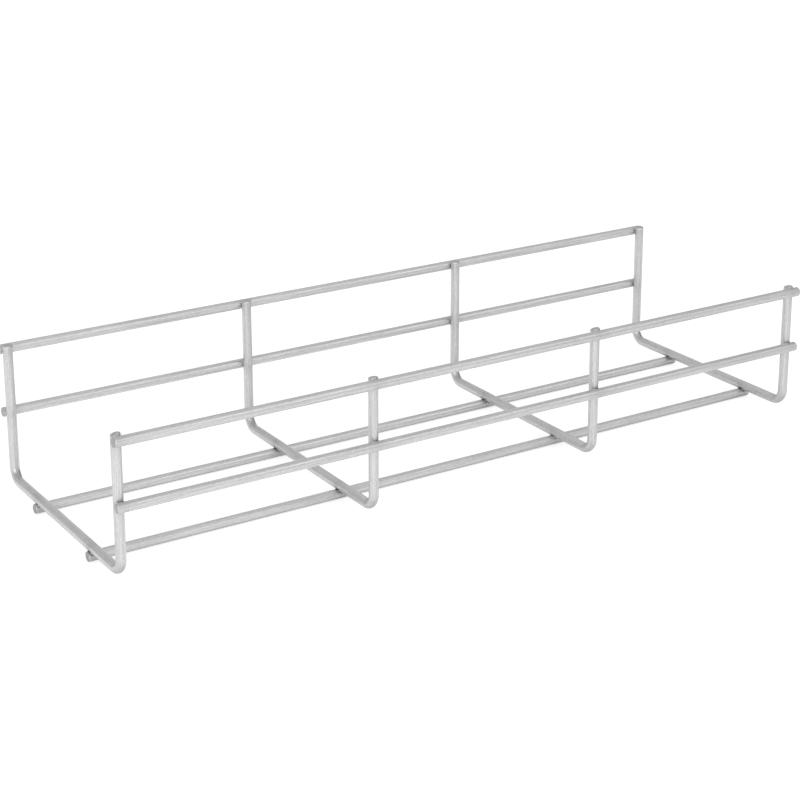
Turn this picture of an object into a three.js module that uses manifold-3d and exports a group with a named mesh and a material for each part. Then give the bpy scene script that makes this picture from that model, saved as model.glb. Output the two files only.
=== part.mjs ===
// A wire cable tray: four U-shaped cross wires and six straight long wires, all of one gauge,
// resistance-welded to each other wherever they cross.
//
// Millimetres, +Z up, +X along the tray, +Y towards its back wall, which is a little taller than
// the front one. The origin is on the surface the tray stands on, below the middle of the tray.

import * as THREE from 'three';
import { mergeVertices } from 'three/addons/utils/BufferGeometryUtils.js';
import Module from 'manifold-3d';

const wasm = await Module();
wasm.setup();

// Driving dimensions. A height is that of a wire's centre above the surface the tray stands on.
const WIRE_DIAMETER = 5;
const CROSS_WIRE_COUNT = 4;
const CROSS_WIRE_PITCH = 135;
const LONG_WIRE_LENGTH = 411;
const LEG_SPACING = 130;
const FLOOR_WIRE_SPACING = 65;
const BEND_RADIUS = 7;
const BACK_TOP_HEIGHT = 75.5;
const BACK_MIDDLE_HEIGHT = 42;
const FRONT_TOP_HEIGHT = 72.5;
const FRONT_LOWER_HEIGHT = 40.6;
const BACK_TIP_ABOVE_TOP_WIRE = 3.2;
const FRONT_TIP_ABOVE_TOP_WIRE = 2.6;

// A weld presses two crossing wires this far into each other, from just touching. What is left
// between their flattened sides is the weld itself, a low disc that swells at its rim.
const WELD_SET_DOWN = 0.85;
const WELD_THICKNESS = 0.65;
const WELD_RADIUS = 1.6;
const WELD_RIM_RADIUS = 2;
const WELD_SEAT_LENGTH = 4.6;

// A wire's section has flats that face straight up, down and sideways, a wire diameter apart.
const WIRE_SIDES = 16;
const STEPS_PER_BEND = 8;
const WELD_SIDES = 20;

const WIRE_RADIUS = WIRE_DIAMETER / 2;
const CROSSING_DISTANCE = WIRE_DIAMETER - WELD_SET_DOWN;
const SEAT_HEIGHT = (CROSSING_DISTANCE - WELD_THICKNESS) / 2;
const CROSS_RUN_HEIGHT = WIRE_RADIUS + CROSSING_DISTANCE;
const BACK_LEG_Y = LEG_SPACING / 2;
const FRONT_LEG_Y = -LEG_SPACING / 2;
const CROSS_WIRE_X = Array.from(
  { length: CROSS_WIRE_COUNT },
  (_, i) => (i - (CROSS_WIRE_COUNT - 1) / 2) * CROSS_WIRE_PITCH,
);

// The side of the cross wires that a long wire lies against. The turn about X brings the long
// wire's local +Z, where its weld seats are, round to face the cross wires.
const SIDES = {
  back: { outward: new THREE.Vector3(0, 1, 0), turn: Math.PI / 2 },
  front: { outward: new THREE.Vector3(0, -1, 0), turn: -Math.PI / 2 },
  floor: { outward: new THREE.Vector3(0, 0, -1), turn: 0 },
};

// Each long wire, with the point (y, z) of the cross wires' centre line that it crosses.
const LONG_WIRES = [
  { name: 'back_top', side: SIDES.back, y: BACK_LEG_Y, z: BACK_TOP_HEIGHT },
  { name: 'back_middle', side: SIDES.back, y: BACK_LEG_Y, z: BACK_MIDDLE_HEIGHT },
  { name: 'floor_back', side: SIDES.floor, y: FLOOR_WIRE_SPACING / 2, z: CROSS_RUN_HEIGHT },
  { name: 'floor_front', side: SIDES.floor, y: -FLOOR_WIRE_SPACING / 2, z: CROSS_RUN_HEIGHT },
  { name: 'front_lower', side: SIDES.front, y: FRONT_LEG_Y, z: FRONT_LOWER_HEIGHT },
  { name: 'front_top', side: SIDES.front, y: FRONT_LEG_Y, z: FRONT_TOP_HEIGHT },
];

function wireMaterial() {
  return new THREE.MeshStandardMaterial({ color: 0xc6c7c8, roughness: 0.42, metalness: 0.75 });
}

function weldMaterial() {
  return new THREE.MeshStandardMaterial({ color: 0x9a9b9d, roughness: 0.6, metalness: 0.7 });
}

// The wire's round section as a regular polygon whose flats touch the wire's circle.
function wireSection() {
  const cornerRadius = WIRE_RADIUS / Math.cos(Math.PI / WIRE_SIDES);
  const corners = Array.from({ length: WIRE_SIDES }, (_, i) => {
    const angle = ((i + 0.5) * 2 * Math.PI) / WIRE_SIDES;
    return new THREE.Vector2(cornerRadius * Math.cos(angle), cornerRadius * Math.sin(angle));
  });
  return new THREE.Shape(corners);
}

// A curve through given stations, which an extrusion with one step per span meets exactly.
class StationCurve extends THREE.Curve {
  constructor(stations) {
    super();
    this.stations = stations;
  }

  get spans() {
    return this.stations.length - 1;
  }

  getPoint(t, target = new THREE.Vector3()) {
    const place = t * this.spans;
    const span = THREE.MathUtils.clamp(Math.floor(place), 0, this.spans - 1);
    return target.lerpVectors(this.stations[span], this.stations[span + 1], place - span);
  }

  getUtoTmapping(u) {
    return u;
  }
}

// The centre line of a cross wire: down the back leg, along the floor, and up the front leg.
function crossWirePath() {
  const bendHeight = CROSS_RUN_HEIGHT + BEND_RADIUS;
  const bendY = BACK_LEG_Y - BEND_RADIUS;
  const outline = new THREE.Path();
  outline.moveTo(BACK_LEG_Y, BACK_TOP_HEIGHT + BACK_TIP_ABOVE_TOP_WIRE);
  outline.lineTo(BACK_LEG_Y, bendHeight);
  outline.absarc(bendY, bendHeight, BEND_RADIUS, 0, -Math.PI / 2, true);
  outline.lineTo(-bendY, CROSS_RUN_HEIGHT);
  outline.absarc(-bendY, bendHeight, BEND_RADIUS, -Math.PI / 2, -Math.PI, true);
  outline.lineTo(FRONT_LEG_Y, FRONT_TOP_HEIGHT + FRONT_TIP_ABOVE_TOP_WIRE);
  const stations = outline.getPoints(STEPS_PER_BEND / 2).map((p) => new THREE.Vector3(0, p.x, p.y));
  return new StationCurve(stations);
}

function toManifold(geometry) {
  const positions = geometry.clone();
  positions.deleteAttribute('normal');
  positions.deleteAttribute('uv');
  const merged = mergeVertices(positions);
  const mesh = new wasm.Mesh({
    numProp: 3,
    vertProperties: new Float32Array(merged.attributes.position.array),
    triVerts: new Uint32Array(merged.index.array),
  });
  return new wasm.Manifold(mesh);
}

function toGeometry(solid) {
  const mesh = solid.getMesh();
  const geometry = new THREE.BufferGeometry();
  geometry.setAttribute('position', new THREE.BufferAttribute(mesh.vertProperties, 3));
  geometry.setIndex(new THREE.BufferAttribute(mesh.triVerts, 1));
  geometry.computeVertexNormals();
  return geometry;
}

// Cuts a flat weld seat into a wire at each crossing: a point of the wire's centre line, and the
// direction from it to the wire that it is welded to.
function cutWeldSeats(wire, crossings) {
  const cutDepth = WIRE_RADIUS;
  let solid = toManifold(wire);
  for (const { point, direction } of crossings) {
    const size = new THREE.Vector3(WELD_SEAT_LENGTH, WELD_SEAT_LENGTH, WELD_SEAT_LENGTH);
    size.addScaledVector(absolute(direction), cutDepth - WELD_SEAT_LENGTH);
    const cutter = new THREE.BoxGeometry(size.x, size.y, size.z);
    const centre = point.clone().addScaledVector(direction, SEAT_HEIGHT + cutDepth / 2);
    cutter.translate(centre.x, centre.y, centre.z);
    solid = solid.subtract(toManifold(cutter));
  }
  return toGeometry(solid);
}

function absolute(v) {
  return new THREE.Vector3(Math.abs(v.x), Math.abs(v.y), Math.abs(v.z));
}

function crossWireGeometry() {
  const path = crossWirePath();
  const bar = new THREE.ExtrudeGeometry(wireSection(), {
    steps: path.spans,
    extrudePath: path,
    bevelEnabled: false,
  });
  const crossings = LONG_WIRES.map(({ side, y, z }) => ({
    point: new THREE.Vector3(0, y, z),
    direction: side.outward,
  }));
  return cutWeldSeats(bar, crossings);
}

// A long wire lies along X, with its middle at its own origin and its weld seats facing +Z.
function longWireGeometry() {
  const bar = new THREE.ExtrudeGeometry(wireSection(), {
    depth: LONG_WIRE_LENGTH,
    bevelEnabled: false,
  });
  bar.translate(0, 0, -LONG_WIRE_LENGTH / 2);
  bar.rotateY(Math.PI / 2);
  const crossings = CROSS_WIRE_X.map((x) => ({
    point: new THREE.Vector3(x, 0, 0),
    direction: new THREE.Vector3(0, 0, 1),
  }));
  return cutWeldSeats(bar, crossings);
}

// A weld is turned about its own Z, which points from the one wire's seat to the other's.
function weldGeometry() {
  const halfThickness = WELD_THICKNESS / 2;
  const profile = new THREE.Path();
  profile.moveTo(0, -halfThickness);
  profile.lineTo(WELD_RADIUS, -halfThickness);
  profile.quadraticCurveTo(2 * WELD_RIM_RADIUS - WELD_RADIUS, 0, WELD_RADIUS, halfThickness);
  profile.lineTo(0, halfThickness);
  const rimSteps = 4;
  const disc = new THREE.LatheGeometry(profile.getPoints(rimSteps), WELD_SIDES);
  return disc.rotateX(Math.PI / 2);
}

function namedMesh(name, geometry, material) {
  const mesh = new THREE.Mesh(geometry, material);
  mesh.name = name;
  return mesh;
}

function crossWires() {
  const group = new THREE.Group();
  const geometry = crossWireGeometry();
  CROSS_WIRE_X.forEach((x, i) => {
    const mesh = namedMesh(`cross_wire_${i + 1}`, geometry, wireMaterial());
    mesh.position.x = x;
    group.add(mesh);
  });
  return group;
}

// One long wire and the welds that hold it to the cross wires.
function weldedLongWire({ name, side, y, z }, wireGeometry, discGeometry) {
  const group = new THREE.Group();
  group.position.set(0, y, z).addScaledVector(side.outward, CROSSING_DISTANCE);
  group.rotation.x = side.turn;
  group.add(namedMesh(`${name}_wire`, wireGeometry, wireMaterial()));
  CROSS_WIRE_X.forEach((x, i) => {
    const weld = namedMesh(`weld_${name}_${i + 1}`, discGeometry, weldMaterial());
    weld.position.set(x, 0, CROSSING_DISTANCE / 2);
    group.add(weld);
  });
  return group;
}

function longWires() {
  const group = new THREE.Group();
  const wireGeometry = longWireGeometry();
  const discGeometry = weldGeometry();
  for (const wire of LONG_WIRES) {
    group.add(weldedLongWire(wire, wireGeometry, discGeometry));
  }
  return group;
}

const cableTray = new THREE.Group();
cableTray.add(crossWires(), longWires());

export default cableTray;
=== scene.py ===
"""A welded wire cable tray: ten satin plated steel wires and the 24 welds that hold them together.

Metres, in the CAD model's frame: +X along the tray, +Y towards its back wall, +Z up.
Each wire is drawn as a fine skin round its centre line, flattened where it is pressed and welded
against its neighbours. Each weld is the metal squeezed out between the two wires.
"""

import math
from collections import namedtuple

import bpy
import numpy as np
from mathutils import Euler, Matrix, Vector, noise


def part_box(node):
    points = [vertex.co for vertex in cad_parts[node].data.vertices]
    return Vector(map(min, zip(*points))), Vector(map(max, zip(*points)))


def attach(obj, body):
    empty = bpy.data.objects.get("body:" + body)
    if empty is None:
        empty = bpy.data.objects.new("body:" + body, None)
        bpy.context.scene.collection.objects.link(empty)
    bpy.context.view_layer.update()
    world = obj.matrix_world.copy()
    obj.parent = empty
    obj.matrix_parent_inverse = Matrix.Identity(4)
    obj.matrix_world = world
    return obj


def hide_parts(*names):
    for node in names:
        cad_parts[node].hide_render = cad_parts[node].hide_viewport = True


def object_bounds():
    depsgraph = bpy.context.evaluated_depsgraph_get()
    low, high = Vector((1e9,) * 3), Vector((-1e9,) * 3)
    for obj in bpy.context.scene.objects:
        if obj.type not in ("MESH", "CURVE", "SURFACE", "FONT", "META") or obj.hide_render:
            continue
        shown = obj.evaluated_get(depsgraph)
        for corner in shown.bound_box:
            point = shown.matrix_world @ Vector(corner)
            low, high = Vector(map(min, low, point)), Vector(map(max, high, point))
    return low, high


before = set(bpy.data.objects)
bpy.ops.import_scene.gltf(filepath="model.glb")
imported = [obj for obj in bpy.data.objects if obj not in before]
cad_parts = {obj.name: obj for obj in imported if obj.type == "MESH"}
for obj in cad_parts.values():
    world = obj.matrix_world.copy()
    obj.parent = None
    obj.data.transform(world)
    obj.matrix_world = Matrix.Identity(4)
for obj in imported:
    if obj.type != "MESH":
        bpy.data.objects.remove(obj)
cad_low, cad_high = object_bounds()

MM = 0.001

# ---------------------------------------------------------------------------------------------
# Sizes and places, from the CAD nodes' boxes
# ---------------------------------------------------------------------------------------------

SIDE_DIRECTIONS = {"back": (0, 1, 0), "front": (0, -1, 0), "floor": (0, 0, -1)}
LONG_WIRE_SIDES = {
    "back_top": "back",
    "back_middle": "back",
    "floor_back": "floor",
    "floor_front": "floor",
    "front_lower": "front",
    "front_top": "front",
}
CROSS_WIRES = sorted(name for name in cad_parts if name.startswith("cross_wire_"))

BEND_RADIUS = 7 * MM
FRONT_TIP_ABOVE_TOP_WIRE = 2.6 * MM


def middle(node):
    low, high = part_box(node)
    return (low + high) / 2


floor_wire_low, floor_wire_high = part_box("floor_front_wire")
cross_low, cross_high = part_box(CROSS_WIRES[0])
WIRE_RADIUS = (floor_wire_high.z - floor_wire_low.z) / 2
LEG_Y = cross_high.y - WIRE_RADIUS
RUN_HEIGHT = cross_low.z + WIRE_RADIUS
BACK_TIP_HEIGHT = cross_high.z
FRONT_TIP_HEIGHT = middle("front_top_wire").z + FRONT_TIP_ABOVE_TOP_WIRE
CROSSING_DISTANCE = middle("back_top_wire").y - LEG_Y

# ---------------------------------------------------------------------------------------------
# The centre lines of the wires
# ---------------------------------------------------------------------------------------------

BEND_STEPS = 18
CUT_EDGE_RADIUS = 0.3 * MM
TIP_EDGE_RADIUS = 0.9 * MM
LONG_WIRE_CUT_ROUGHNESS = 1.0
TIP_CUT_ROUGHNESS = 0.45

# A cut end's slope: its rise for each step across the wire and beside it
SQUARE_CUT = (0.0, 0.0)
BACK_TIP_SLOPE = (0.05, -0.04)
FRONT_TIP_SLOPE = (-0.14, 0.12)


class StraightPath:
    """A long wire's centre line, along X."""

    edge_radius = CUT_EDGE_RADIUS
    end_slopes = (SQUARE_CUT, SQUARE_CUT)
    cut_roughness = LONG_WIRE_CUT_ROUGHNESS

    def __init__(self, start, length):
        self.start = Vector(start)
        self.length = length

    def at(self, s):
        """At the distance s from its start: the point, the wire's direction, and two directions
        across it."""
        point = self.start + Vector((s, 0, 0))
        return point, Vector((1, 0, 0)), Vector((0, 1, 0)), Vector((0, 0, 1))

    def bend(self, s):
        return 0

    def stations(self):
        return []


class UPath:
    """A cross wire's centre line: down the back leg, along the floor run, up the front leg."""

    edge_radius = TIP_EDGE_RADIUS
    end_slopes = (BACK_TIP_SLOPE, FRONT_TIP_SLOPE)
    cut_roughness = TIP_CUT_ROUGHNESS

    def __init__(self, x):
        self.x = x
        self.back_leg = BACK_TIP_HEIGHT - RUN_HEIGHT - BEND_RADIUS
        self.arc = BEND_RADIUS * math.pi / 2
        self.run = 2 * (LEG_Y - BEND_RADIUS)
        self.front_leg = FRONT_TIP_HEIGHT - RUN_HEIGHT - BEND_RADIUS
        self.bend_starts = (self.back_leg, self.back_leg + self.arc + self.run)
        self.length = self.bend_starts[1] + self.arc + self.front_leg

    def at(self, s):
        """At the distance s from the back tip: the point, the wire's direction, the direction
        towards the inside of the tray, and the direction beside the wire."""
        turned = sum(self.share_round(s, i) for i in (0, 1)) * math.pi / 2
        inward = Vector((0, -math.cos(turned), math.sin(turned)))
        bend_y = LEG_Y - BEND_RADIUS
        bend_z = RUN_HEIGHT + BEND_RADIUS
        first, second = self.bend_starts
        if s < first:
            point = Vector((self.x, LEG_Y, BACK_TIP_HEIGHT - s))
        elif s < first + self.arc:
            point = Vector((self.x, bend_y, bend_z)) - inward * BEND_RADIUS
        elif s < second:
            point = Vector((self.x, bend_y - (s - first - self.arc), RUN_HEIGHT))
        elif s < second + self.arc:
            point = Vector((self.x, -bend_y, bend_z)) - inward * BEND_RADIUS
        else:
            point = Vector((self.x, -LEG_Y, bend_z + s - second - self.arc))
        return point, Vector((1, 0, 0)).cross(inward), inward, Vector((1, 0, 0))

    def share_round(self, s, index):
        """How far round one of the two bends s is, from 0 before it to 1 after it."""
        return min(max((s - self.bend_starts[index]) / self.arc, 0), 1)

    def bend(self, s):
        """How close s is to the middle of a bend, from 0 outside the bends to 1."""
        return max(math.sin(self.share_round(s, i) * math.pi) for i in (0, 1))

    def stations(self):
        """The distances at which the skin needs rings, to follow the bends."""
        steps = range(BEND_STEPS + 1)
        return [start + self.arc * i / BEND_STEPS for start in self.bend_starts for i in steps]

    def leg_place(self, side, height):
        """The distance along the wire of a height on its back leg or its front leg."""
        if side == "back":
            return BACK_TIP_HEIGHT - height
        return self.length - (FRONT_TIP_HEIGHT - height)

    def run_place(self, y):
        """The distance along the wire of a y on its floor run."""
        return self.back_leg + self.arc + (LEG_Y - BEND_RADIUS - y)


# ---------------------------------------------------------------------------------------------
# The skin of a wire
# ---------------------------------------------------------------------------------------------

SIDES = 40
ANGLES = np.arange(SIDES) * 2 * math.pi / SIDES
COARSE_STEP = 2.5 * MM
FINE_STEP = 0.4 * MM
FINE_REACH = 4 * MM
EDGE_STEPS = 6
END_RINGS = 6
CUT_EDGE_SHARE = 1 / 3
SLOPED_LENGTH = 2 * MM
SLOPE_UNEVEN = 0.12
BEND_OVALITY = 0.05
HELIX_PITCH = 900 * MM
ELECTRODE_DENT = 0.1 * MM
ELECTRODE_REACH = 2.2 * MM
WELD_CLEARANCE = 0.01 * MM

# How dark the metal is painted beside a weld and in a bend, from 0, clean, to 1: scorching and
# rub marks, and painted shade in the crevices between the wires and in the bends. The floor welds
# are painted darkest, for the shade in their crevices
SCORCH_AND_SHADE = {"back": 0.08, "front": 0.12, "floor": 0.85}
FAINT_SCORCH_AND_SHADE = 0.3
FAINTLY_SCORCHED_AND_SHADED = ("floor_back_1", "floor_front_3")
SCORCH_AND_SHADE_REACH = 3.2 * MM
DULL_SHARE = 0.2
DULL_REACH = 4.5 * MM
# Rub marks and painted shade in a bend: inside its hollow, and along its outside, next to the floor
RUBBED_AND_SHADED_INSIDE = 0.75
RUBBED_AND_SHADED_OUTSIDE = 0.42

# A weld on a wire: its distance along the wire, the direction to the other wire, and its
# scorching and painted shade
Weld = namedtuple("Weld", "place towards scorch")


def uneven(x, y, z):
    """A smooth random value between -1 and 1, the same on each run."""
    return noise.noise(Vector((x, y, z)))


def ring_places(path, weld_places):
    """Where along the wire its skin has rings: close together at the welds, bends and ends."""
    coarse = np.linspace(0, path.length, int(path.length / COARSE_STEP) + 1)
    fine = [
        place + offset
        for place in weld_places
        for offset in np.arange(-FINE_REACH, FINE_REACH + FINE_STEP / 2, FINE_STEP)
    ]
    places = sorted([*coarse[1:-1], *fine, *path.stations()])
    places = [p for p in places if path.edge_radius < p < path.length - path.edge_radius]
    kept = []
    for place in places:
        if not kept or place - kept[-1] > FINE_STEP / 2:
            kept.append(place)
    return kept


def end_profile(edge_radius):
    """The rounded edge and flat face of a cut end: (distance from the end, radius) from its
    middle outwards."""
    flat_radius = WIRE_RADIUS - edge_radius
    face = [(0.0, flat_radius * i / END_RINGS) for i in range(1, END_RINGS + 1)]
    turns = [math.pi / 2 * i / EDGE_STEPS for i in range(1, EDGE_STEPS + 1)]
    edge = [(edge_radius * (1 - math.cos(t)), flat_radius + edge_radius * math.sin(t)) for t in turns]
    return face + edge


def end_slope(path, number, end):
    """The slope of a cut end, as a rise for each step across and beside the wire."""
    across, beside = path.end_slopes[end]
    x, y, z = number * 3.7, end * 5.1, 0.5
    return across + SLOPE_UNEVEN * uneven(x, y, z), beside + SLOPE_UNEVEN * uneven(x, y, z + 9)


def pressed(along, height):
    """The height above a wire's axis, once the wire is pressed against one that crosses it at
    along = 0 on the side of +height. Both are arrays."""
    across_other = np.sqrt(np.maximum(WIRE_RADIUS**2 - along**2, 0))
    meeting = np.maximum(CROSSING_DISTANCE - across_other, CROSSING_DISTANCE / 2) - WELD_CLEARANCE
    dent = ELECTRODE_DENT * np.exp(-((along / ELECTRODE_REACH) ** 4))
    return np.clip(height, -(WIRE_RADIUS - dent), meeting)


def build_wire(name, path, welds, material, number):
    """A wire's mesh. No two wires have the same number, so no two are uneven in the same way."""
    profile = end_profile(path.edge_radius)
    places = ring_places(path, [weld.place for weld in welds])
    rings = [*profile]
    rings += [(place, WIRE_RADIUS) for place in places]
    rings += [(path.length - distance, radius) for distance, radius in reversed(profile)]
    slopes = [end_slope(path, number, end) for end in (0, 1)]
    points = [ring_points(path, welds, slopes, *ring) for ring in rings]
    spaces = [drawn_space(number, *ring) for ring in rings]
    cuts = [cut_face(path, radius) for place, radius in rings]
    scorches_and_shades = [scorched_and_shaded(path, welds, ring[0], around) for ring, around in zip(rings, points)]
    return skin_object(name, points, spaces, cuts, scorches_and_shades, material)


def ring_points(path, welds, slopes, place, radius):
    """The skin's points round one place: sloped near a cut end, oval in a bend and pressed flat
    at a weld."""
    across, beside = radius * np.cos(ANGLES), radius * np.sin(ANGLES)
    end = int(place > path.length / 2)
    from_end = path.length - place if end else place
    slope_across, slope_beside = slopes[end]
    sloped = max(0, 1 - from_end / SLOPED_LENGTH) * (slope_across * across + slope_beside * beside)
    centre, direction, inward, sideways = path.at(place)
    oval = 1 - BEND_OVALITY * path.bend(place)
    offsets = np.outer(across * oval, inward) + np.outer(beside, sideways)
    offsets += np.outer(sloped, direction)
    for weld in welds:
        if abs(place - weld.place) < 2 * FINE_REACH:
            height = offsets @ np.array(weld.towards, float)
            flattened = pressed(place + sloped - weld.place, height)
            offsets += np.outer(flattened - height, weld.towards)
    return np.array(centre) + offsets


def drawn_space(number, place, radius):
    """A ring's places in a space that winds slowly along the wire: how far along, and two
    distances from the centre line."""
    turn = ANGLES + place * 2 * math.pi / HELIX_PITCH
    along = np.full(SIDES, place + number)
    return np.stack([along, radius * np.cos(turn), radius * np.sin(turn)], 1)


def cut_face(path, radius):
    """How torn a ring is: as much as the wire's cuts on a cut face, and 0 on the drawn wire."""
    on_cut = radius < WIRE_RADIUS - path.edge_radius * CUT_EDGE_SHARE
    return np.full(SIDES, path.cut_roughness if on_cut else 0.0)


def scorched_and_shaded(path, welds, place, ring):
    """How dark each point of a ring is painted: rub marks and painted shade in a bend, dull beside
    a weld, and darkest close to the weld's middle, from scorching and painted crevice shade."""
    most = rubbed_and_shaded(path, place, ring)
    for weld in welds:
        weld_middle = path.at(weld.place)[0] + Vector(weld.towards) * CROSSING_DISTANCE / 2
        apart = np.linalg.norm(ring - np.array(weld_middle), axis=1)
        dull = DULL_SHARE * math.exp(-(((place - weld.place) / DULL_REACH) ** 2))
        most = np.maximum(most, weld.scorch * np.exp(-((apart / SCORCH_AND_SHADE_REACH) ** 4)) + dull)
    return most


def rubbed_and_shaded(path, place, ring):
    """How dark each point of a ring is painted in a bend: rub marks from the bending tool, and
    painted shade inside the bend and along its outside, next to the floor.
    """
    centre, direction, inward, sideways = path.at(place)
    height = (ring - np.array(centre)) @ np.array(inward) / WIRE_RADIUS
    inside = RUBBED_AND_SHADED_INSIDE * np.clip(height, 0, 1) ** 2
    outside = RUBBED_AND_SHADED_OUTSIDE * np.clip(-height, 0, 1)
    return path.bend(place) * (inside + outside)


def skin_object(name, rings, spaces, cuts, scorches_and_shades, material):
    """A wire's skin over its rings of points, with what its material reads from it."""
    mesh = closed_mesh(name, rings)
    middles = [[space[0, 0], 0, 0] for space in (spaces[0], spaces[-1])]
    add_attribute(mesh, "drawn_space", "FLOAT_VECTOR", np.concatenate([*spaces, middles]))
    for attribute, values in (("cut_face", cuts), ("scorch", scorches_and_shades)):
        middles = [values[0].mean(), values[-1].mean()]
        add_attribute(mesh, attribute, "FLOAT", np.concatenate([*values, middles]))
    return finished_object(mesh, material)


def closed_mesh(name, rings):
    """A closed mesh over rings of points, all of as many points, with one more point in the
    middle of the first ring and one in the middle of the last."""
    count, sides = len(rings), len(rings[0])
    vertices = np.concatenate([*rings, [rings[0].mean(0)], [rings[-1].mean(0)]])
    first_middle, last_middle = count * sides, count * sides + 1
    last = (count - 1) * sides
    faces = []
    for corner in range(sides):
        after = (corner + 1) % sides
        for low in range(0, last, sides):
            faces.append((low + corner, low + after, low + sides + after, low + sides + corner))
        faces.append((first_middle, after, corner))
        faces.append((last_middle, last + corner, last + after))
    mesh = bpy.data.meshes.new(name)
    mesh.from_pydata(vertices.tolist(), [], faces)
    return mesh


def add_attribute(mesh, name, kind, values):
    attribute = mesh.attributes.new(name, kind, "POINT")
    field = "vector" if kind == "FLOAT_VECTOR" else "value"
    attribute.data.foreach_set(field, np.asarray(values, np.float32).ravel())


def finished_object(mesh, material):
    outward(mesh)
    mesh.shade_smooth()
    mesh.materials.append(material)
    piece = bpy.data.objects.new(mesh.name, mesh)
    bpy.context.scene.collection.objects.link(piece)
    return piece


def outward(mesh):
    """Turns the whole closed mesh's faces outwards, if its volume comes out negative."""
    mesh.calc_loop_triangles()
    points = np.array([v.co for v in mesh.vertices], float)
    corners = points[np.array([t.vertices[:] for t in mesh.loop_triangles])]
    volume = np.einsum("ij,ij->i", corners[:, 0], np.cross(corners[:, 1], corners[:, 2])).sum()
    if volume < 0:
        mesh.flip_normals()


# ---------------------------------------------------------------------------------------------
# Welds
# ---------------------------------------------------------------------------------------------

WELD_SIDES = 72
WELD_CAP_RINGS = 8
WELD_RIM_STEPS = 8
WELD_SINK = 0.06 * MM

# The squeezed metal reaches out to where the space between the wires is this wide
SQUEEZE_GAP = {"back": 1.5 * MM, "front": 1.5 * MM, "floor": 0.6 * MM}
SQUEEZE_UNEVEN = 0.5 * MM
LEAST_SQUEEZE = 0.12 * MM
SQUEEZE_REACHES = np.linspace(0.4, 1.02, 120)

# The rim of a weld: its swelling, the lobes and crumbs round it, and the beads thrown out of it
RIM_BULGE = 0.14 * MM
LOBES_ROUND = 1.6
CRUMBS_ROUND = 6
CRUMB_SHARE = 0.5
BEADS = 4
BEAD_SIZE = 0.55
BEAD_GAP = 1.1 * MM
BEAD_BULGE = 0.5 * MM
BEAD_SPREAD = math.radians(12)


def weld_gap(u, v):
    """The space between the two round wires, u across one of them and v across the other."""
    lower = np.sqrt(np.maximum(WIRE_RADIUS**2 - v**2, 0))
    upper = CROSSING_DISTANCE - np.sqrt(np.maximum(WIRE_RADIUS**2 - u**2, 0))
    return upper - lower


def squeezed_rim(number, squeeze_gap):
    """How far out the squeezed metal reaches and how much its rim swells, all round a weld."""
    angles = np.arange(WELD_SIDES) * 2 * math.pi / WELD_SIDES
    reach = SQUEEZE_REACHES * WIRE_RADIUS
    radii, swells = [], []
    for angle in angles:
        x, y = math.cos(angle), math.sin(angle)
        lobes = uneven(x * LOBES_ROUND, y * LOBES_ROUND, number * 2.3)
        crumbs = uneven(x * CRUMBS_ROUND, y * CRUMBS_ROUND, number * 1.7)
        bead = max(beadiness(angle, number, index) for index in range(BEADS))
        gap = squeeze_gap + SQUEEZE_UNEVEN * (lobes + CRUMB_SHARE * crumbs) + BEAD_GAP * bead
        spaces = weld_gap(reach * x, reach * y)
        radii.append(np.interp(max(gap, LEAST_SQUEEZE), spaces, reach))
        swells.append(RIM_BULGE * (1 + crumbs) + BEAD_BULGE * bead)
    return angles, np.array(radii), np.array(swells)


def beadiness(angle, number, index):
    """How near a direction is to one of the beads of metal thrown out of a weld, from 0 to 1."""
    where = 2 * math.pi * (index / BEADS + 0.5 * uneven(number * 1.31, index * 2.7, 4.5))
    size = BEAD_SIZE + uneven(number * 0.93, index * 3.3, 8.5)
    apart = (angle - where + math.pi) % (2 * math.pi) - math.pi
    return max(size, 0) * math.exp(-((apart / BEAD_SPREAD) ** 2))


def build_weld(name, place, side, scorch, material, number):
    """The metal between a cross wire and a long wire. Its own axes are: u along the long wire,
    v along the cross wire, and w from the cross wire to the long wire."""
    angles, radii, swells = squeezed_rim(number, SQUEEZE_GAP[side])
    w = Vector(SIDE_DIRECTIONS[side])
    u = Vector((1, 0, 0))
    v = w.cross(u)
    shares = np.linspace(1 / WELD_CAP_RINGS, 1, WELD_CAP_RINGS)
    sheets = [weld_sheet(angles, radii * share, 0) for share in shares]
    for step in range(1, WELD_RIM_STEPS):
        rise = step / WELD_RIM_STEPS
        swell = swells * math.sin(math.pi * rise)
        sheets.append(weld_sheet(angles, radii + swell, rise, radii))
    sheets += [weld_sheet(angles, radii * share, 1) for share in reversed(shares)]
    basis = np.array([u, v, w], float)
    mesh = closed_mesh(name, [np.array(place) + sheet @ basis for sheet in sheets])
    add_attribute(mesh, "scorch", "FLOAT", np.full(len(mesh.vertices), scorch))
    return finished_object(mesh, material)


def weld_sheet(angles, radii, rise, surface_radii=None):
    """A closed line round the weld, the share rise of the way from the lower wire's surface to
    the upper wire's. The line starts and ends a little inside the wires."""
    held = radii if surface_radii is None else surface_radii
    u, v = held * np.cos(angles), held * np.sin(angles)
    middle_height = CROSSING_DISTANCE / 2
    lower = np.minimum(np.sqrt(np.maximum(WIRE_RADIUS**2 - v**2, 0)), middle_height)
    upper = CROSSING_DISTANCE - np.sqrt(np.maximum(WIRE_RADIUS**2 - u**2, 0))
    upper = np.maximum(upper, middle_height)
    height = lower - WELD_SINK + (upper - lower + 2 * WELD_SINK) * rise
    return np.stack([radii * np.cos(angles), radii * np.sin(angles), height], 1)


# ---------------------------------------------------------------------------------------------
# Materials
# ---------------------------------------------------------------------------------------------

# A noise: how many times it repeats in a metre along each axis, its detail and its roughness
Pattern = namedtuple("Pattern", "scale detail roughness", defaults=(0.55,))


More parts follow.
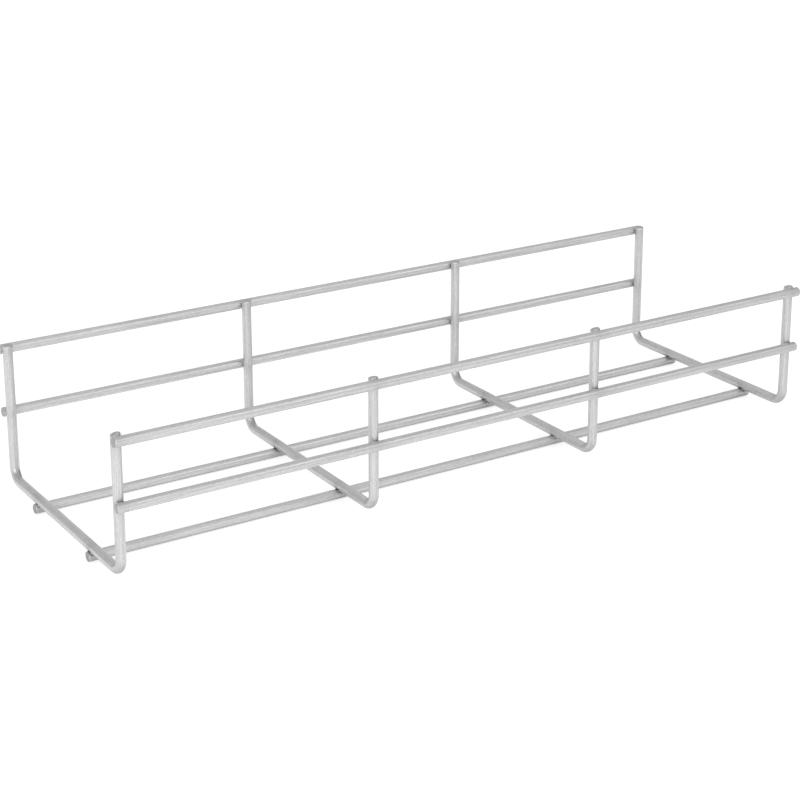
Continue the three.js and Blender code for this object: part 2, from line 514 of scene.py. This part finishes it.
class Nodes:
    """A short way to write a material's nodes."""

    def __init__(self, name):
        self.material = bpy.data.materials.new(name)
        self.material.use_nodes = True
        self.tree = self.material.node_tree
        self.shader = self.tree.nodes["Principled BSDF"]

    def add(self, kind, **inputs):
        node = self.tree.nodes.new(kind)
        for key, value in inputs.items():
            self.set(node, key, value)
        return node

    def set(self, node, key, value):
        self.fill(node.inputs[key.replace("_", " ")], value)

    def fill(self, socket, value):
        if isinstance(value, bpy.types.NodeSocket):
            self.tree.links.new(value, socket)
        else:
            socket.default_value = value

    def attribute(self, name):
        node = self.add("ShaderNodeAttribute")
        node.attribute_name = name
        return node

    def noise(self, vector, pattern):
        stretch = self.add("ShaderNodeMapping", Vector=vector, Scale=pattern.scale)
        made = self.add("ShaderNodeTexNoise", Scale=1.0, Detail=pattern.detail)
        self.set(made, "Roughness", pattern.roughness)
        self.set(made, "Vector", stretch.outputs["Vector"])
        return made.outputs["Fac"]

    def between(self, value, low, high, start=0.25, end=0.75):
        """Maps a value that goes from start to end on to low to high."""
        node = self.add("ShaderNodeMapRange", Value=value, From_Min=start, From_Max=end)
        self.set(node, "To_Min", low)
        self.set(node, "To_Max", high)
        return node.outputs["Result"]

    def mix(self, factor, first, second):
        """The first colour where the factor is 0, and the second where it is 1."""
        node = self.tree.nodes.new("ShaderNodeMix")
        node.data_type = "RGBA"
        colour_sockets = [socket for socket in node.inputs if socket.type == "RGBA"]
        for socket, value in zip([node.inputs[0], *colour_sockets], (factor, first, second)):
            self.fill(socket, value)
        return next(socket for socket in node.outputs if socket.type == "RGBA")

    def math(self, operation, first, second):
        node = self.tree.nodes.new("ShaderNodeMath")
        node.operation = operation
        for socket, value in zip(node.inputs, (first, second)):
            self.fill(socket, value)
        return node.outputs[0]

    def bump(self, height, strength, distance, normal=None):
        node = self.add("ShaderNodeBump", Height=height, Strength=strength, Distance=distance)
        if normal is not None:
            self.set(node, "Normal", normal)
        return node.outputs["Normal"]


def grey(level, warmth=0.0):
    return (level * (1 + warmth), level, level * (1 - warmth), 1.0)


METALLIC = 0.9

# The drawn wire, along it and across it
MARKS = Pattern((30, 2200, 2200), 3)
SCORES = Pattern((30, 4200, 4200), 2)
BLOOM = Pattern((120, 300, 300), 3)
GRAIN = Pattern((500, 1900, 1900), 3, 0.6)
TORN = Pattern((900, 2200, 2200), 5, 0.7)
SPECKS = Pattern((1100, 1100, 1100), 3, 0.6)

DULL_STEEL, BRIGHT_STEEL = grey(0.50), grey(0.80)
BLOOM_GREY, BLOOM_SHARE = grey(0.63, -0.006), 0.45
FROST_GREY, FROST_SHARE, FROST_SPAN = grey(0.86), 0.4, (0.5, 0.75)
FRECKLE_GREY, FRECKLE_SHARE, FRECKLE_SPAN = grey(0.42), 0.35, (0.28, 0.48)
# Scorching and painted shade at the welds and in the bends: a dark grey with paler specks
SOOT_AND_SHADE, SINGED, SOOT_AND_SHADE_SPAN = grey(0.17, 0.01), grey(0.62), (0.4, 0.7)
TORN_DARK, TORN_PALE = grey(0.26), grey(0.50)

MARK_ROUGHNESS = (0.38, 0.26)
GRAIN_ROUGHNESS = (0.04, -0.02)
SCORCH_ROUGHNESS = 0.1

# Strength and depth
MARK_BUMP = (0.5, 0.03 * MM)
SCORE_BUMP = (0.4, 0.012 * MM)
GRAIN_BUMP = (0.3, 0.015 * MM)


def wire_material():
    """Satin plated wire: faint marks that wind along it, a cloudy bloom and a fine grain. It is
    darkened by scorching and painted shade beside a weld, by rub marks and painted shade in a
    bend, and dark and torn on a cut end."""
    nodes = Nodes("plated_wire")
    space = nodes.attribute("drawn_space").outputs["Vector"]
    scorch = nodes.attribute("scorch").outputs["Fac"]
    cut = nodes.attribute("cut_face").outputs["Fac"]
    marks = nodes.noise(space, MARKS)
    grain = nodes.noise(space, GRAIN)
    nodes.set(nodes.shader, "Base Color", wire_colour(nodes, space, marks, grain, scorch, cut))
    smooth = nodes.between(marks, *MARK_ROUGHNESS)
    grained = nodes.math("ADD", smooth, nodes.between(grain, *GRAIN_ROUGHNESS))
    burnt_and_shaded = nodes.math("MULTIPLY", scorch, SCORCH_ROUGHNESS)
    nodes.set(nodes.shader, "Roughness", nodes.math("ADD", grained, burnt_and_shaded))
    nodes.set(nodes.shader, "Metallic", METALLIC)
    marked = nodes.bump(marks, *MARK_BUMP)
    scored = nodes.bump(nodes.noise(space, SCORES), *SCORE_BUMP, marked)
    nodes.set(nodes.shader, "Normal", nodes.bump(grain, *GRAIN_BUMP, scored))
    return nodes.material


def wire_colour(nodes, space, marks, grain, scorch, cut):
    drawn = nodes.mix(nodes.between(marks, 0.0, 1.0), DULL_STEEL, BRIGHT_STEEL)
    bloom = nodes.between(nodes.noise(space, BLOOM), 0.0, BLOOM_SHARE)
    clouded = nodes.mix(bloom, drawn, BLOOM_GREY)
    frost = nodes.between(grain, 0.0, FROST_SHARE, *FROST_SPAN)
    frosted = nodes.mix(frost, clouded, FROST_GREY)
    freckles = nodes.between(grain, FRECKLE_SHARE, 0.0, *FRECKLE_SPAN)
    freckled = nodes.mix(freckles, frosted, FRECKLE_GREY)
    # Scorching and painted shade, darkest in the weld crevices and the bends
    specks = nodes.between(nodes.noise(space, SPECKS), 0.0, 1.0, *SOOT_AND_SHADE_SPAN)
    burnt_and_shaded = nodes.mix(scorch, freckled, nodes.mix(specks, SOOT_AND_SHADE, SINGED))
    torn = nodes.between(nodes.noise(space, TORN), 0.0, 1.0)
    return nodes.mix(cut, burnt_and_shaded, nodes.mix(torn, TORN_DARK, TORN_PALE))


WELD_LUMPS = Pattern((900, 900, 900), 4, 0.6)
WELD_GRAIN = Pattern((4200, 4200, 4200), 2)
WELD_DULL, WELD_BRIGHT = grey(0.50, 0.01), grey(0.80)
# Weld metal darkened by scorching and by painted shade in the crevice between the wires
WELD_SOOT_AND_SHADE, WELD_SINGED = grey(0.12, 0.015), grey(0.66)
WELD_GLINT, WELD_GLINT_SHARE = grey(0.88), 0.4
WELD_ROUGHNESS = (0.55, 0.25)
WELD_BUMP = (0.6, 0.12 * MM)


def weld_material():
    """Plated weld metal: crumbled and rougher than the wire, and darker with scorching and with
    painted shade in the crevice between the wires.
    """
    nodes = Nodes("plated_weld")
    place = nodes.add("ShaderNodeTexCoord").outputs["Object"]
    scorch = nodes.attribute("scorch").outputs["Fac"]
    lumps = nodes.noise(place, WELD_LUMPS)
    pale = nodes.mix(nodes.between(lumps, 0.0, 1.0), WELD_DULL, WELD_BRIGHT)
    dark = nodes.mix(nodes.between(lumps, 0.0, 1.0), WELD_SOOT_AND_SHADE, WELD_SINGED)
    glint = nodes.between(nodes.noise(place, WELD_GRAIN), 0.0, WELD_GLINT_SHARE)
    colour = nodes.mix(glint, nodes.mix(scorch, pale, dark), WELD_GLINT)
    nodes.set(nodes.shader, "Base Color", colour)
    nodes.set(nodes.shader, "Roughness", nodes.between(lumps, *WELD_ROUGHNESS))
    nodes.set(nodes.shader, "Metallic", METALLIC)
    nodes.set(nodes.shader, "Normal", nodes.bump(lumps, *WELD_BUMP))
    return nodes.material


# ---------------------------------------------------------------------------------------------
# The tray
# ---------------------------------------------------------------------------------------------


def crossing(long_wire, side, path):
    """The distance along a cross wire at which a long wire crosses it."""
    centre = middle(f"{long_wire}_wire")
    if side == "floor":
        return path.run_place(centre.y)
    return path.leg_place(side, centre.z)


def scorch_and_shade_of(long_wire, index):
    """How scorched a long wire's weld to the cross wire of that number is, from 0 to 1."""
    if f"{long_wire}_{index}" in FAINTLY_SCORCHED_AND_SHADED:
        return FAINT_SCORCH_AND_SHADE
    return SCORCH_AND_SHADE[LONG_WIRE_SIDES[long_wire]]


def add_piece(piece, node):
    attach(piece, "root")
    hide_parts(node)


def build_cross_wires(material):
    for index, node in enumerate(CROSS_WIRES, 1):
        path = UPath(middle(node).x)
        welds = [
            Weld(crossing(long_wire, side, path), SIDE_DIRECTIONS[side], scorch_and_shade_of(long_wire, index))
            for long_wire, side in LONG_WIRE_SIDES.items()
        ]
        add_piece(build_wire(f"{node}_skin", path, welds, material, index - 1), node)


def build_long_wires(material):
    places = [middle(node).x for node in CROSS_WIRES]
    for number, (long_wire, side) in enumerate(LONG_WIRE_SIDES.items(), len(CROSS_WIRES)):
        node = f"{long_wire}_wire"
        low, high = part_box(node)
        centre = middle(node)
        path = StraightPath((low.x, centre.y, centre.z), high.x - low.x)
        towards = tuple(-c for c in SIDE_DIRECTIONS[side])
        welds = [
            Weld(place - low.x, towards, scorch_and_shade_of(long_wire, index))
            for index, place in enumerate(places, 1)
        ]
        add_piece(build_wire(f"{node}_skin", path, welds, material, number), node)


def build_welds(material):
    number = 0
    for long_wire, side in LONG_WIRE_SIDES.items():
        direction = Vector(SIDE_DIRECTIONS[side])
        long_centre = middle(f"{long_wire}_wire")
        for index, cross_wire in enumerate(CROSS_WIRES, 1):
            place = Vector((middle(cross_wire).x, long_centre.y, long_centre.z))
            place -= direction * CROSSING_DISTANCE
            node = f"weld_{long_wire}_{index}"
            scorch = scorch_and_shade_of(long_wire, index)
            piece = build_weld(f"{node}_metal", place, side, scorch, material, number)
            add_piece(piece, node)
            number += 1


# ---------------------------------------------------------------------------------------------
# Camera, floor and light
# ---------------------------------------------------------------------------------------------

CAMERA_PLACE = (-0.5224, -0.8101, 0.3946)
CAMERA_HEADING = math.radians(32.27)
CAMERA_LOOK_DOWN = math.radians(16.04)
CAMERA_ROLL = math.radians(0.15)
CAMERA_LENS = 86.53
CAMERA_SHIFT_Y = -0.2
CAMERA_CLIP_START = 0.01

# The floor looks almost white straight on. Mirrored in the wires it is pale, with a painted glow,
# an emission that is a little weaker towards the tray's right end, and painted shade close beside
# the wires.
FLOOR_SIZE = 12.0
FLOOR_BELOW_TRAY = 0.05 * MM
FLOOR_ROUGHNESS = 0.9
FLOOR_COLOUR = 0.95
FLOOR_COLOUR_SEEN = 0.6
FLOOR_GLOW = (0.30, 0.12)
FLOOR_GLOW_SPAN = (-0.2, 0.35)
FLOOR_GLOW_SEEN = 0.63
FLOOR_SHADE_REACH = 20 * MM
FLOOR_SHADE_DARKEST = 0.6
FLOOR_SHADE_SAMPLES = 4

# The room's brightness along a direction: (0 straight against it to 1 straight along it, level)
DARKEST_DIRECTION = (-0.25, 0.97, 0.0)
ROOM_LEVELS = ((0.0, 0.86), (0.25, 0.85), (0.5, 0.74), (0.8, 0.72), (1.0, 0.60))
RIGHT_DIRECTION = (1.0, 0.0, 0.0)
RIGHT_LEVELS = ((0.0, 1.0), (0.7, 1.0), (0.86, 0.82), (0.92, 0.6), (0.97, 0.25))

# Each softbox: its name, place, width and height, all in metres, and its power in watts
SOFTBOXES = (
    ("overhead_front", (1.3, -1.6, 1.7), 1.6, 0.6, 2.2),
    ("front_left", (-0.95, -1.45, 0.45), 2.2, 0.9, 8),
)


def add_camera():
    data = bpy.data.cameras.new("camera")
    data.lens = CAMERA_LENS
    data.shift_y = CAMERA_SHIFT_Y
    data.clip_start = CAMERA_CLIP_START
    camera = bpy.data.objects.new("camera", data)
    camera.location = CAMERA_PLACE
    aimed = Euler((math.pi / 2 - CAMERA_LOOK_DOWN, 0, -CAMERA_HEADING)).to_matrix()
    rolled = aimed @ Euler((0, 0, -CAMERA_ROLL)).to_matrix()
    camera.rotation_euler = rolled.to_euler()
    bpy.context.scene.collection.objects.link(camera)
    bpy.context.scene.camera = camera


def floor_material():
    nodes = Nodes("pale_floor")
    seen_directly = nodes.add("ShaderNodeLightPath").outputs["Is Camera Ray"]
    # Painted shade: an occlusion test darkens the floor's colour and glow close beside the wires
    shade = nodes.add("ShaderNodeAmbientOcclusion", Distance=FLOOR_SHADE_REACH)
    shade.samples = FLOOR_SHADE_SAMPLES
    open_floor = nodes.between(shade.outputs["AO"], FLOOR_SHADE_DARKEST, 1.0, 0.0, 1.0)
    colour = nodes.math("MULTIPLY", open_floor, FLOOR_COLOUR)
    place = nodes.add("ShaderNodeSeparateXYZ", Vector=nodes.add("ShaderNodeTexCoord").outputs["Object"])
    glow = nodes.between(place.outputs["X"], *FLOOR_GLOW, *FLOOR_GLOW_SPAN)
    shaded_glow = nodes.math("MULTIPLY", glow, open_floor)
    colour = nodes.between(seen_directly, colour, FLOOR_COLOUR_SEEN, 0.0, 1.0)
    glow = nodes.between(seen_directly, shaded_glow, FLOOR_GLOW_SEEN, 0.0, 1.0)
    nodes.set(nodes.shader, "Base Color", colour)
    nodes.set(nodes.shader, "Roughness", FLOOR_ROUGHNESS)
    nodes.set(nodes.shader, "Emission Color", grey(1.0))
    nodes.set(nodes.shader, "Emission Strength", glow)
    return nodes.material


def add_floor():
    half = FLOOR_SIZE / 2
    mesh = bpy.data.meshes.new("floor")
    corners = [(-half, -half, 0), (half, -half, 0), (half, half, 0), (-half, half, 0)]
    mesh.from_pydata(corners, [], [(0, 1, 2, 3)])
    mesh.materials.append(floor_material())
    floor = bpy.data.objects.new("floor", mesh)
    floor.location.z = cad_low.z - FLOOR_BELOW_TRAY
    bpy.context.scene.collection.objects.link(floor)


def add_world():
    """A pale studio, white to the camera. It lights the tray most of all from in front, and less
    from behind and from the right."""
    world = bpy.data.worlds.new("studio")
    world.use_nodes = True
    bpy.context.scene.world = world
    tree = world.node_tree
    tree.nodes.clear()
    output = tree.nodes.new("ShaderNodeOutputWorld")
    switch = tree.nodes.new("ShaderNodeMixShader")
    rays = tree.nodes.new("ShaderNodeLightPath")
    direction = tree.nodes.new("ShaderNodeTexCoord").outputs["Generated"]
    seen = tree.nodes.new("ShaderNodeBackground")
    seen.inputs["Color"].default_value = grey(1.0)
    lighting = tree.nodes.new("ShaderNodeBackground")
    level = level_along(tree, direction, DARKEST_DIRECTION, ROOM_LEVELS)
    share = level_along(tree, direction, RIGHT_DIRECTION, RIGHT_LEVELS)
    tree.links.new(level, lighting.inputs["Color"])
    tree.links.new(share, lighting.inputs["Strength"])
    tree.links.new(rays.outputs["Is Camera Ray"], switch.inputs["Fac"])
    tree.links.new(lighting.outputs[0], switch.inputs[1])
    tree.links.new(seen.outputs[0], switch.inputs[2])
    tree.links.new(switch.outputs[0], output.inputs["Surface"])


def level_along(tree, direction, axis, levels):
    """A grey that depends on how far a direction points along an axis."""
    towards = tree.nodes.new("ShaderNodeVectorMath")
    towards.operation = "DOT_PRODUCT"
    towards.inputs[1].default_value = axis
    tree.links.new(direction, towards.inputs[0])
    scaled = tree.nodes.new("ShaderNodeMapRange")
    scaled.inputs["From Min"].default_value = -1.0
    tree.links.new(towards.outputs["Value"], scaled.inputs["Value"])
    ramp = tree.nodes.new("ShaderNodeValToRGB")
    ramp.color_ramp.interpolation = "EASE"
    stops = ramp.color_ramp.elements
    stops.remove(stops[1])
    for index, (place, level) in enumerate(levels):
        stop = stops[0] if index == 0 else stops.new(place)
        stop.position = place
        stop.color = grey(level)
    tree.links.new(scaled.outputs["Result"], ramp.inputs["Fac"])
    return ramp.outputs["Color"]


def add_softbox(name, place, width, height, power):
    """A rectangular lamp that faces the middle of the tray."""
    data = bpy.data.lights.new(name, "AREA")
    data.shape = "RECTANGLE"
    data.size = width
    data.size_y = height
    data.energy = power
    lamp = bpy.data.objects.new(name, data)
    lamp.location = place
    lamp.visible_camera = False
    middle_of_tray = (cad_low + cad_high) / 2
    lamp.rotation_euler = (middle_of_tray - Vector(place)).to_track_quat("-Z", "Y").to_euler()
    bpy.context.scene.collection.objects.link(lamp)


add_camera()
add_floor()
add_world()
for softbox in SOFTBOXES:
    add_softbox(*softbox)
wire_finish = wire_material()
weld_finish = weld_material()
build_cross_wires(wire_finish)
build_long_wires(wire_finish)
build_welds(weld_finish)
bpy.context.scene.view_settings.view_transform = "Standard"
